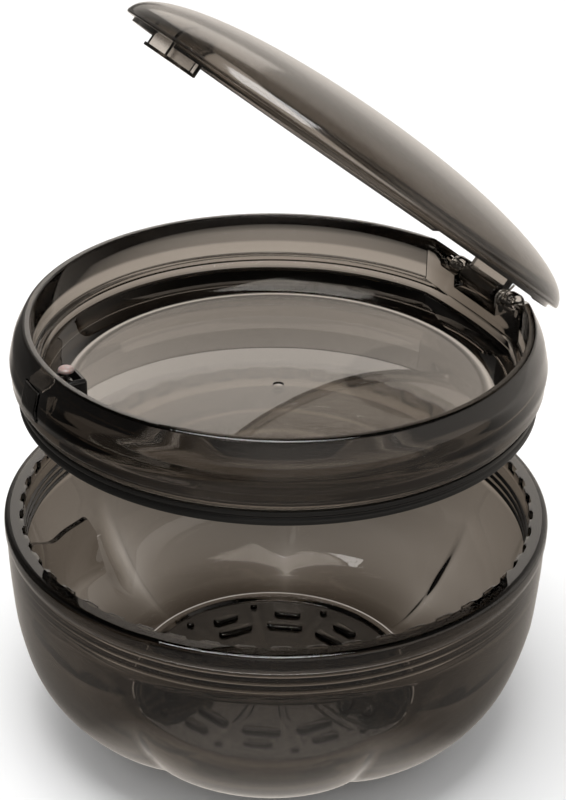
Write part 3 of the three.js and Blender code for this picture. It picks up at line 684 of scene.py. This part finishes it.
# %% Tray
belt_line = [
    (BORE + 0.8 * MM, SEAT_DROP, 0.35 * MM), (BORE + 0.9 * MM, -9.5 * MM, 0.5 * MM),
    (BELT, -7.7 * MM, 2.8 * MM), (BORE + 0.2 * MM, -3.4 * MM, 1.2 * MM), (RIM_EDGE, 0, 0.5 * MM),
]
tray_section = rounded([
    (0, TRAY_BOTTOM, 0), (SKIRT, TRAY_BOTTOM, 0.4 * MM),
    (SKIRT, TRAY_BOTTOM + SKIRT_HEIGHT, 0.1 * MM), (GROOVE, TRAY_BOTTOM + SKIRT_HEIGHT, 0),
    (GROOVE, NECK_DROP, 0), (NECK, NECK_DROP, 0.2 * MM),
    (NECK, SEAT_DROP, 0.2 * MM), *belt_line,
    (TRAY_INSIDE, 0, 0.5 * MM), (TRAY_INSIDE, LEDGE_DROP, 0.4 * MM), (LEDGE, LEDGE_DROP, 0.3 * MM),
    (LEDGE, LEDGE_FOOT, 0),
])
tray_section += smooth_curve([
    (LEDGE - 0.3 * MM, LEDGE_FOOT - 0.6 * MM),
    ((LEDGE + FLOOR_EDGE) / 2, (LEDGE_FOOT + TRAY_FLOOR - NOSE) / 2),
    (FLOOR_EDGE, TRAY_FLOOR), (FLOOR_EDGE - 2 * MM, TRAY_FLOOR),
], 20)
tray_section += [(0, TRAY_FLOOR)]
tray = spun("tray_shell", tray_section, ROUND)

# %% [markdown]
# At the hinge the tray has a flat panel inside its wall, a dip in its rim, a pocket for the lid's
# knuckle and the spring, and an ear on each side that carries the pin.

# %% Tray at the hinge
panel_room = spun("room", [
    (0, TRAY_FLOOR - 1 * MM), (GROOVE, TRAY_FLOOR - 1 * MM), (TRAY_INSIDE + NOSE, -NOSE), (0, -NOSE),
], ROUND)
panel = prism("panel", rounded([
    (PANEL_FOOT, TRAY_FLOOR - 1 * MM, 0), (TRAY_RIM, TRAY_FLOOR - 1 * MM, 0), (TRAY_RIM, -NOSE, 0),
    (PANEL, -NOSE, 0.3 * MM), (PANEL, LEDGE_DROP, 0.6 * MM), (PANEL_FOOT, TRAY_FLOOR, 0.2 * MM),
]), "X", -PANEL_HALF, PANEL_HALF)
combine(panel, panel_room, "INTERSECT")
combine(tray, panel, "UNION")
dip = prism("dip", rounded([
    (-DIP_FLAT, DIP_DEPTH, 2 * MM), (DIP_FLAT, DIP_DEPTH, 2 * MM), (DIP_HALF, 0.01 * MM, 2 * MM),
    (DIP_HALF, OVER, 0), (-DIP_HALF, OVER, 0), (-DIP_HALF, 0.01 * MM, 2 * MM),
], 8), "Y", PANEL - OVER, BELT + OVER)
combine(tray, dip, "DIFFERENCE")
pocket = block("pocket", (EAR_END, PANEL - OVER, HINGE_DROP - KNUCKLE - GAP),
               (SPRING_EAR_START, BELT + OVER, OVER))
bevel(pocket, 0.4 * MM)
combine(tray, pocket, "DIFFERENCE")
for low, high in ((EAR_START, EAR_END), (SPRING_EAR_START, SPRING_EAR_END)):
    ear = hinge_rod("ear", KNUCKLE, low, high)
    bevel(ear, 0.3 * MM)
    combine(tray, ear, "UNION")
combine(tray, hinge_rod("bore", PIN_BORE, EAR_START - OVER, SPRING_EAR_END + OVER), "DIFFERENCE")

# %% [markdown]
# The button's window goes right through the front wall, and the gate of the mould left a small
# dimple in the middle of the floor.

# %% Tray window and dimple
BUTTON_DROP = -6.6 * MM
BUTTON_HALF = 3.1 * MM
BUTTON_RISE = 2.9 * MM
window = block("window", (-BUTTON_HALF - GAP, -BELT - OVER, BUTTON_DROP - BUTTON_RISE - GAP),
               (BUTTON_HALF + GAP, -LEDGE - GAP, BUTTON_DROP + BUTTON_RISE + GAP))
bevel(window, 0.5 * MM)
combine(tray, window, "DIFFERENCE")
gate = rod("gate", 1.1 * MM, TRAY_FLOOR - 0.4 * MM, TRAY_FLOOR + OVER)
bevel(gate, 0.2 * MM)
combine(tray, gate, "DIFFERENCE")
lift(tray)
seat(tray, "tray", "smoke_plastic_tray", smoke_tray, "tray_body")

# %% [markdown]
# The seal is a black silicone ring with two lips and a relief between them.

# %% Tray seal
SEAL_LIP = 0.9 * MM
SEAL_RELIEF = 0.6 * MM
seal_low, seal_high = TRAY_BOTTOM + SKIRT_HEIGHT + GAP, NECK_DROP - GAP
seal = spun("tray_seal_soft", rounded([
    (GROOVE + GAP, seal_low, 0), (BORE - GAP, seal_low, 0.25 * MM),
    (BORE - GAP, seal_low + SEAL_LIP, 0.3 * MM),
    (BORE - GAP - SEAL_RELIEF, (seal_low + seal_high) / 2, 0.3 * MM),
    (BORE - GAP, seal_high - SEAL_LIP, 0.3 * MM), (BORE - GAP, seal_high, 0.25 * MM),
    (GROOVE + GAP, seal_high, 0),
]), 300)
lift(seal)
seat(seal, "tray", "black_silicone_seal", black_silicone, "tray_seal")

# %% [markdown]
# The hinge pin is a plain bright rod with broken edges. The springs are drawn as a line through
# their turns and given the thickness of their wire.

# %% Pin and springs
pin_low, pin_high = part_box("hinge_pin")
pin = hinge_rod("hinge_pin_round", PIN, pin_low.x, pin_high.x)
bevel(pin, 0.15 * MM)
lift(pin)
seat(pin, "tray", "steel_pin", stainless, "hinge_pin")


def wire(name, points, diameter):
    """A round wire through the points."""
    deselect()
    bpy.ops.mesh.primitive_plane_add(size=MM)
    piece = bpy.context.object
    piece.name = name
    bpy.ops.object.mode_set(mode="EDIT")
    bpy.ops.mesh.merge(type="CENTER")
    here = Vector(points[0])
    bpy.ops.transform.translate(value=here)
    for point in points[1:]:
        there = Vector(point)
        bpy.ops.mesh.extrude_region_move(TRANSFORM_OT_translate={"value": there - here})
        here = there
    bpy.ops.object.mode_set(mode="OBJECT")
    bpy.ops.object.convert(target="CURVE")
    piece = bpy.context.object
    piece.data.bevel_depth = diameter / 2
    piece.data.bevel_resolution = 4
    piece.data.use_fill_caps = True
    bpy.ops.object.convert(target="MESH")
    return tidy(bpy.context.object)


INSIDE_WIRE = 0.98  # the drawn wire stays this share inside the solid one
HINGE_WIRE = 0.5 * MM
HINGE_COIL = 1.5 * MM
HINGE_PITCH = 0.95 * MM
HINGE_CURLS = 2
LEG_ANGLE = 50
LEG_REACH = 3.1 * MM
CURL_STEPS = 32
start_x = KNUCKLE_HALF + GAP + HINGE_WIRE / 2
turns = HINGE_CURLS + LEG_ANGLE / 360
count = round(turns * CURL_STEPS)
hinge_line = [(start_x, HINGE_REACH - HINGE_COIL, HINGE_DROP - KNUCKLE + 0.35 * MM)]
for i in range(count + 1):
    turned = turns * i / count
    angle = math.pi * (1 - 2 * turned)
    hinge_line.append((start_x + HINGE_PITCH * turned, HINGE_REACH + HINGE_COIL * math.cos(angle),
                       HINGE_DROP + HINGE_COIL * math.sin(angle)))
lean = math.radians(LEG_ANGLE)
leg = Vector((0, math.sin(lean), math.cos(lean))) * LEG_REACH * INSIDE_WIRE
hinge_line.append(tuple(Vector(hinge_line[-1]) + leg))
hinge_spring = wire("hinge_spring_wire", hinge_line, HINGE_WIRE * INSIDE_WIRE)
lift(hinge_spring)
seat(hinge_spring, "tray", "spring_steel", stainless, "hinge_spring")

spring_low, spring_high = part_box("button_spring")
BUTTON_WIRE = 0.25 * MM
BUTTON_COIL = 2.55 * MM
BUTTON_CURLS = 2
TRAVEL = 1.2 * MM
line_start, line_end = spring_low.y + BUTTON_WIRE / 2, spring_high.y - BUTTON_WIRE / 2
count = BUTTON_CURLS * CURL_STEPS
button_line = []
for i in range(count + 1):
    turn = i / CURL_STEPS * TAU
    button_line.append((BUTTON_COIL * math.cos(turn), line_start + (line_end - line_start) * i / count,
                        BUTTON_DROP + BUTTON_COIL * math.sin(turn)))
button_spring = wire("button_spring_wire", button_line, BUTTON_WIRE * INSIDE_WIRE)
lift(button_spring)
seat(button_spring, "tray", "spring_steel", stainless, "button_spring")
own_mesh(button_spring)

# %% [markdown]
# The latch stands inside the front wall. A black housing guides the slide of the push button, and
# the slide's post carries a steel stud with a pinkish nylon cap, which the lid's keyhole locks on.

# %% Latch
housing_low, housing_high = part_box("latch_housing")
button_low, button_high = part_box("push_button")
cap_low, cap_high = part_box("stud_cap")
stud_low, stud_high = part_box("catch_stud")
STUD = 0.7 * MM
STUD_REACH = TRAY_INSIDE - 3.3 * MM
SLIDE_HALF = 1.6 * MM
SLIDE_TOP = BUTTON_DROP + 1.5 * MM
POST_HALF = 0.8 * MM
HOUSING_TOP = housing_high.z - TRAY_TOP
POST_TOP = HOUSING_TOP - GAP
CAVITY_HALF = SLIDE_HALF + GAP
CAVITY_FLOOR = GAP + 0.7 * MM + LEDGE_DROP
BUTTON_BACK = TRAY_INSIDE + 1.7 * MM

housing = block("latch_housing_round",
                (housing_low.x, -TRAY_INSIDE + GAP, housing_low.z - TRAY_TOP),
                (housing_high.x, housing_high.y, housing_high.z - TRAY_TOP))
bevel(housing, 0.8 * MM, 5)
room_inside = spun("room", [
    (0, TRAY_BOTTOM), (TRAY_INSIDE - GAP, TRAY_BOTTOM), (TRAY_INSIDE - GAP, OVER), (0, OVER),
], ROUND)
combine(housing, room_inside, "INTERSECT")
combine(housing, block("cavity", (-CAVITY_HALF, -TRAY_INSIDE - OVER, CAVITY_FLOOR),
                       (CAVITY_HALF, housing_high.y - 0.9 * MM, OVER)), "DIFFERENCE")
bevel(housing, 0.12 * MM, 2, 50)
lift(housing)
seat(housing, "tray", "black_plastic", black_acetal, "latch_housing")

BUTTON_PROUD = 0.4 * MM
face_line = rounded([(BUTTON_BACK, SEAT_DROP, 0), *belt_line, (BUTTON_BACK, 0, 0)])[1:]
face = spun("button_face", [
    (BUTTON_BACK - OVER, SEAT_DROP), *[(r + BUTTON_PROUD, z) for r, z in face_line],
    (BUTTON_BACK - OVER, 0),
], ROUND)
combine(face, block("face_block", (-BUTTON_HALF, -BELT - OVER, BUTTON_DROP - BUTTON_RISE),
                    (BUTTON_HALF, -BUTTON_BACK, BUTTON_DROP + BUTTON_RISE)), "INTERSECT")
bevel(face, 0.35 * MM, 4, 50)
slide = prism("slide", [
    (-BUTTON_BACK - GAP, CAVITY_FLOOR + GAP), (-STUD_REACH + POST_HALF, CAVITY_FLOOR + GAP),
    (-STUD_REACH + POST_HALF, POST_TOP), (-STUD_REACH - POST_HALF, POST_TOP),
    (-STUD_REACH - POST_HALF, SLIDE_TOP), (-BUTTON_BACK - GAP, SLIDE_TOP),
], "X", -SLIDE_HALF, SLIDE_HALF)
bevel(slide, 0.15 * MM, 2)
button = combine(face, slide, "UNION")
button.name = "push_button_round"
lift(button)
seat(button, "button", "smoke_plastic_button", smoke_button, "push_button")

stud = rod("catch_stud_round", STUD, stud_low.z, stud_high.z, centre=(0, -STUD_REACH))
seat(stud, "button", "steel_pin", stainless, "catch_stud")
cap_radius = cap_high.x
cap = spun("stud_cap_round", rounded([
    (0, cap_low.z, 0), (cap_radius, cap_low.z, 0.15 * MM),
    (cap_radius, cap_low.z + 0.55 * MM, 0.25 * MM), (cap_radius * 0.62, cap_high.z, 0.3 * MM),
    (0, cap_high.z, 0),
]), 96)
cap.location.y = -STUD_REACH
settle(cap)
seat(cap, "button", "pink_nylon", pink_nylon, "stud_cap")

# %% [markdown]
# The lid is modelled closed, about the same rim plane, and then turned open on the hinge. It is a
# squared dome with a lip that drops inside the tray's rim, a knuckle on a web at the back and a
# keyhole shelf with three ribs at the front.

# %% Lid sizes
LID_OPEN = math.radians(39)
LID_RADIUS = TRAY_RIM - 1.34 * MM
LID_HEIGHT = 11.2 * MM
LID_WALL = 1.8 * MM
LID_EDGE = 0.3 * MM
DOME_POWER = 2.1
LIP = TRAY_INSIDE - 0.7 * MM
LIP_WALL = 1 * MM
LIP_END = -0.6 * MM
LIP_TOP = 2.3 * MM
LIP_STOP = PANEL - 0.8 * MM
WEB_HALF = 0.9 * MM
WEB_TOP = 2.2 * MM
SHELF_LOW = HOUSING_TOP + GAP
SHELF_HIGH = SHELF_LOW + 0.6 * MM
KEY_REACH = STUD_REACH - TRAVEL
CAP_RADIUS = 1.5 * MM
CATCH_HALF = 4.2 * MM
SHELF_HALF = 5 * MM
SHELF_REACH = KEY_REACH - CAP_RADIUS - GAP - 1.1 * MM
RIB_OFFSET = 3.6 * MM
RIB_WIDTH = 0.8 * MM


def dome(radius, height, steps=60):
    """Half a section of the dome, from its edge to its crown."""
    points = []
    for k in range(steps + 1):
        turn = k / steps * TAU / 4
        across = 0 if k == steps else math.cos(turn) ** (2 / DOME_POWER)
        points.append((radius * across, LID_EDGE + height * math.sin(turn) ** (2 / DOME_POWER)))
    return points


# %% Lid
inner_dome = dome(LID_RADIUS - LID_WALL, LID_HEIGHT - LID_WALL)
inner_dome = [point for point in inner_dome if point[1] > LIP_TOP + 0.1 * MM]
lid_section = dome(LID_RADIUS, LID_HEIGHT)[1:][::-1]
lid_section += rounded([
    (LID_RADIUS, LID_EDGE + 0.8 * MM, 0), (LID_RADIUS, LID_EDGE, 0.4 * MM), (LIP, LID_EDGE, 0.1 * MM),
    (LIP, LIP_END, 0.12 * MM), (LIP - LIP_WALL, 0.5 * MM, 0.2 * MM),
    (LIP - LIP_WALL, LIP_TOP, 0.2 * MM),
])
lid_section += inner_dome
lid = spun("lid_shell_round", lid_section, ROUND)
combine(lid, block("lip_back", (-LID_RADIUS - OVER, LIP_STOP, -OVER),
                   (LID_RADIUS + OVER, LID_RADIUS + OVER, LID_EDGE - 0.02 * MM)), "DIFFERENCE")
combine(lid, block("lip_front", (-CATCH_HALF, -LID_RADIUS - OVER, -OVER),
                   (CATCH_HALF, -LIP_STOP, LID_EDGE - 0.02 * MM)), "DIFFERENCE")

# %% Lid at the hinge
skin = spun("skin", [
    (0, HINGE_DROP - KNUCKLE), (LID_RADIUS, HINGE_DROP - KNUCKLE), *dome(LID_RADIUS, LID_HEIGHT),
], ROUND)
web = block("web", (-KNUCKLE_HALF, HINGE_REACH - WEB_HALF, HINGE_DROP),
            (KNUCKLE_HALF, HINGE_REACH + WEB_HALF, WEB_TOP))
combine(web, skin, "INTERSECT")
combine(lid, web, "UNION")
knuckle = hinge_rod("knuckle", KNUCKLE, -KNUCKLE_HALF, KNUCKLE_HALF, 8)
bevel(knuckle, 0.2 * MM, 3, 20)
combine(lid, knuckle, "UNION")
combine(lid, hinge_rod("bore", PIN_BORE, -KNUCKLE_HALF - OVER, KNUCKLE_HALF + OVER), "DIFFERENCE")

# %% Lid at the latch
shelf = block("shelf", (-SHELF_HALF, -LID_RADIUS, SHELF_LOW), (SHELF_HALF, -SHELF_REACH, SHELF_HIGH))
bevel(shelf, 0.2 * MM)
for name, radius, reach in (("key", CAP_RADIUS + GAP, KEY_REACH), ("slot", STUD + GAP, STUD_REACH)):
    hole = rod(name, radius, SHELF_LOW - OVER, SHELF_HIGH + OVER, centre=(0, -reach))
    combine(shelf, hole, "DIFFERENCE")
combine(shelf, block("slot", (-STUD - GAP, -STUD_REACH, SHELF_LOW - OVER),
                     (STUD + GAP, -KEY_REACH, SHELF_HIGH + OVER)), "DIFFERENCE")
rib_tops = LID_HEIGHT - LID_WALL
combine(shelf, block("back", (-SHELF_HALF, -SHELF_REACH - RIB_WIDTH, SHELF_LOW + 0.1 * MM),
                     (SHELF_HALF, -SHELF_REACH, rib_tops)), "UNION")
for side in (-1, 1):
    middle = side * RIB_OFFSET
    combine(shelf, block("rib", (middle - RIB_WIDTH / 2, -LID_RADIUS, SHELF_LOW + 0.1 * MM),
                         (middle + RIB_WIDTH / 2, -SHELF_REACH - RIB_WIDTH / 2, rib_tops)), "UNION")
middle_dome = dome(LID_RADIUS - LID_WALL / 2, LID_HEIGHT - LID_WALL / 2)
fill = spun("fill", [*middle_dome, (0, LID_EDGE)], ROUND)
combine(fill, rod("plug", LIP, SHELF_LOW - 0.1 * MM, LID_EDGE + LIP_WALL, sides=ROUND), "UNION")
combine(shelf, fill, "INTERSECT")
combine(lid, shelf, "UNION")

# %% [markdown]
# The closed lid is turned back on the hinge's axis, and the turn is put into its mesh.

# %% Lid opened
turn_open = (
    Matrix.Translation((0, HINGE_REACH, TRAY_TOP + HINGE_DROP))
    @ Matrix.Rotation(-LID_OPEN, 4, "X")
    @ Matrix.Translation((0, -HINGE_REACH, -HINGE_DROP))
)
lid.matrix_world = turn_open
settle(lid)
seat(lid, "lid", "smoke_plastic_lid", smoke_lid, "lid_shell")

# %% [markdown]
# Small functions keep the nodes of the floor and the room short. They measure a place, ease from
# one value to another, pair two values and choose between two shaders.


# %% Node helpers
def measure(tree, operation, socket, constant):
    """The dot product with a direction, or the distance from a place."""
    node = add_node(tree, "ShaderNodeVectorMath", {"operation": operation})
    tree.links.new(socket, node.inputs[0])
    node.inputs[1].default_value = constant
    return node.outputs["Value"]


def ease(tree, socket, between, start, end):
    """Eases from start to end while a value goes from one end of a range to the other."""
    settings = {"From Min": between[0], "From Max": between[1], "To Min": start, "To Max": end,
                "interpolation_type": "SMOOTHSTEP"}
    return add_node(tree, "ShaderNodeMapRange", settings, {"Value": socket}).outputs["Result"]


def pair(tree, operation, first, second):
    """The product or the larger of two values."""
    node = add_node(tree, "ShaderNodeMath", {"operation": operation})
    tree.links.new(first, node.inputs[0])
    tree.links.new(second, node.inputs[1])
    return node.outputs["Value"]


def either(tree, share, first, second):
    """One shader where the share is 0 and the other where it is 1."""
    node = add_node(tree, "ShaderNodeMixShader")
    for place, socket in enumerate((share, first, second)):
        tree.links.new(socket, node.inputs[place])
    return node.outputs["Shader"]


def off_or_through(tree, paths):
    """1 for rays that come off a surface or through it."""
    return pair(tree, "MAXIMUM", paths.outputs["Is Glossy Ray"], paths.outputs["Is Transmission Ray"])


# %% [markdown]
# The case stands on a pale floor that takes its soft shadow, before a white room. Clear plastic is
# seen only by what lies behind it and what it mirrors, so rays that come off or through it find a
# glowing cream sweep and room instead. The sweep's glow is darker at the front, holds a painted
# shadow of the case just behind it and painted shade at the left, and the room is darker at the
# left and above; this is what gives the smoke plastic its depth. A painted pool of light keeps the
# sweep light under the front of the bowl, and it shows through the lower wall.

# %% Floor
FLOOR_HALF = 3.0
FLOOR_PAINT = (0.86, 0.86, 0.86, 1)
BACKWARDS = (-0.878, 0.478, 0)
RIGHTWARDS = (0.478, 0.878, 0)
# Levels of the sweep's glow: front to back, painted shade at the left (SWEEP_LEFT), a painted shadow
# of the case round SHADE_CENTRE, and a painted pool of light (FOOT_GLOW) under the bowl's front.
SWEEP_FRONT = 0.28
SWEEP_BACK = 0.95
SWEEP_LEFT = 0.12
SHADE_CENTRE = (-0.1, 0.054, 0)
SHADE_DEEP = 0.24
FOOT = (0.04, -0.022, 0)
FOOT_GLOW = 0.7
SWEEP_BETWEEN = (-0.06, 0.2)
SHADE_BETWEEN = (0.02, 0.09)
LEFT_SHADE_BETWEEN = (-0.18, -0.06)
FOOT_BETWEEN = (0.025, 0.07)
CREAM = (*linear("#fff6ec"), 1)

deselect()
bpy.ops.mesh.primitive_plane_add(size=FLOOR_HALF * 2)
floor = bpy.context.object
floor.name = "floor"
floor_material, tree, output = new_material("white_sweep")
paths = add_node(tree, "ShaderNodeLightPath")
paint = add_node(tree, "ShaderNodeBsdfDiffuse", {"Color": FLOOR_PAINT})
place = add_node(tree, "ShaderNodeTexCoord").outputs["Object"]
sweep = ease(tree, measure(tree, "DOT_PRODUCT", place, BACKWARDS), SWEEP_BETWEEN,
             SWEEP_FRONT, SWEEP_BACK)
# Painted shadow: the glow is dimmed round a place just behind the case, where its shadow falls.
shade = ease(tree, measure(tree, "DISTANCE", place, SHADE_CENTRE), SHADE_BETWEEN, SHADE_DEEP, 1.0)
# Painted shade: the glow is dimmed towards the left.
left_shade = ease(tree, measure(tree, "DOT_PRODUCT", place, RIGHTWARDS), LEFT_SHADE_BETWEEN, SWEEP_LEFT, 1.0)
# Painted light: the glow is raised in a pool under the front of the bowl.
foot = ease(tree, measure(tree, "DISTANCE", place, FOOT), FOOT_BETWEEN, FOOT_GLOW, 0.0)
level = pair(tree, "MULTIPLY", pair(tree, "MULTIPLY", sweep, shade), left_shade)
glow = add_node(tree, "ShaderNodeEmission", {"Color": CREAM},
                {"Strength": pair(tree, "MAXIMUM", level, foot)})
surface = either(tree, off_or_through(tree, paths), paint.outputs["BSDF"], glow.outputs["Emission"])
tree.links.new(surface, output.inputs["Surface"])
floor.data.materials.append(floor_material)
print("floor", FLOOR_HALF * 2, "m across")

# %% World
ROOM_LOW = 0.8
ROOM_TOP = 0.08
ROOM_LEFT = 0.12
ROOM_BETWEEN = (0.42, 0.75)
SIDE_BETWEEN = (-0.7, 0.0)
AMBIENT = 0.78
world = bpy.data.worlds.new("studio")
bpy.context.scene.world = world
world.use_nodes = True
tree = world.node_tree
tree.nodes.clear()
output = add_node(tree, "ShaderNodeOutputWorld")
paths = add_node(tree, "ShaderNodeLightPath")
direction = add_node(tree, "ShaderNodeTexCoord").outputs["Generated"]
height = add_node(tree, "ShaderNodeSeparateXYZ", {}, {"Vector": direction}).outputs["Z"]
room = ease(tree, height, ROOM_BETWEEN, ROOM_LOW, ROOM_TOP)
side = ease(tree, measure(tree, "DOT_PRODUCT", direction, RIGHTWARDS), SIDE_BETWEEN, ROOM_LEFT, 1.0)
white = add_node(tree, "ShaderNodeBackground", {"Color": (1, 1, 1, 1), "Strength": 1.0})
around = add_node(tree, "ShaderNodeBackground", {"Color": CREAM},
                  {"Strength": pair(tree, "MULTIPLY", room, side)})
ambient = add_node(tree, "ShaderNodeBackground", {"Color": (1, 1, 1, 1), "Strength": AMBIENT})
seen = either(tree, off_or_through(tree, paths), ambient.outputs["Background"],
              around.outputs["Background"])
seen = either(tree, paths.outputs["Is Camera Ray"], seen, white.outputs["Background"])
tree.links.new(seen, output.inputs["Surface"])
print("world", len(tree.nodes), "nodes")

# %% [markdown]
# Two soft boxes light the case. A large one hangs above it. A cream one stands behind, where the
# flat floor of the tray mirrors it.


# %% Lamps
CASE_MIDDLE = Vector((0, 0, 0.06))


def soft_box(name, place, width, height, power, colour=(1, 1, 1)):
    """A rectangular area lamp that faces the middle of the case."""
    data = bpy.data.lights.new(name, "AREA")
    data.shape = "RECTANGLE"
    data.size, data.size_y, data.energy = width, height, power
    data.color = colour
    lamp = bpy.data.objects.new(name, data)
    lamp.location = place
    lamp.rotation_euler = (CASE_MIDDLE - Vector(place)).to_track_quat("-Z", "Y").to_euler()
    bpy.context.scene.collection.objects.link(lamp)
    print(name, power, "W")


soft_box("soft_box_top", (0.05, -0.1, 0.9), 0.55, 0.45, 6)
soft_box("soft_box_back", (-0.729, 0.397, 0.49), 0.42, 0.46, 0.6, CREAM[:3])

bpy.context.scene.view_settings.view_transform = "Standard"
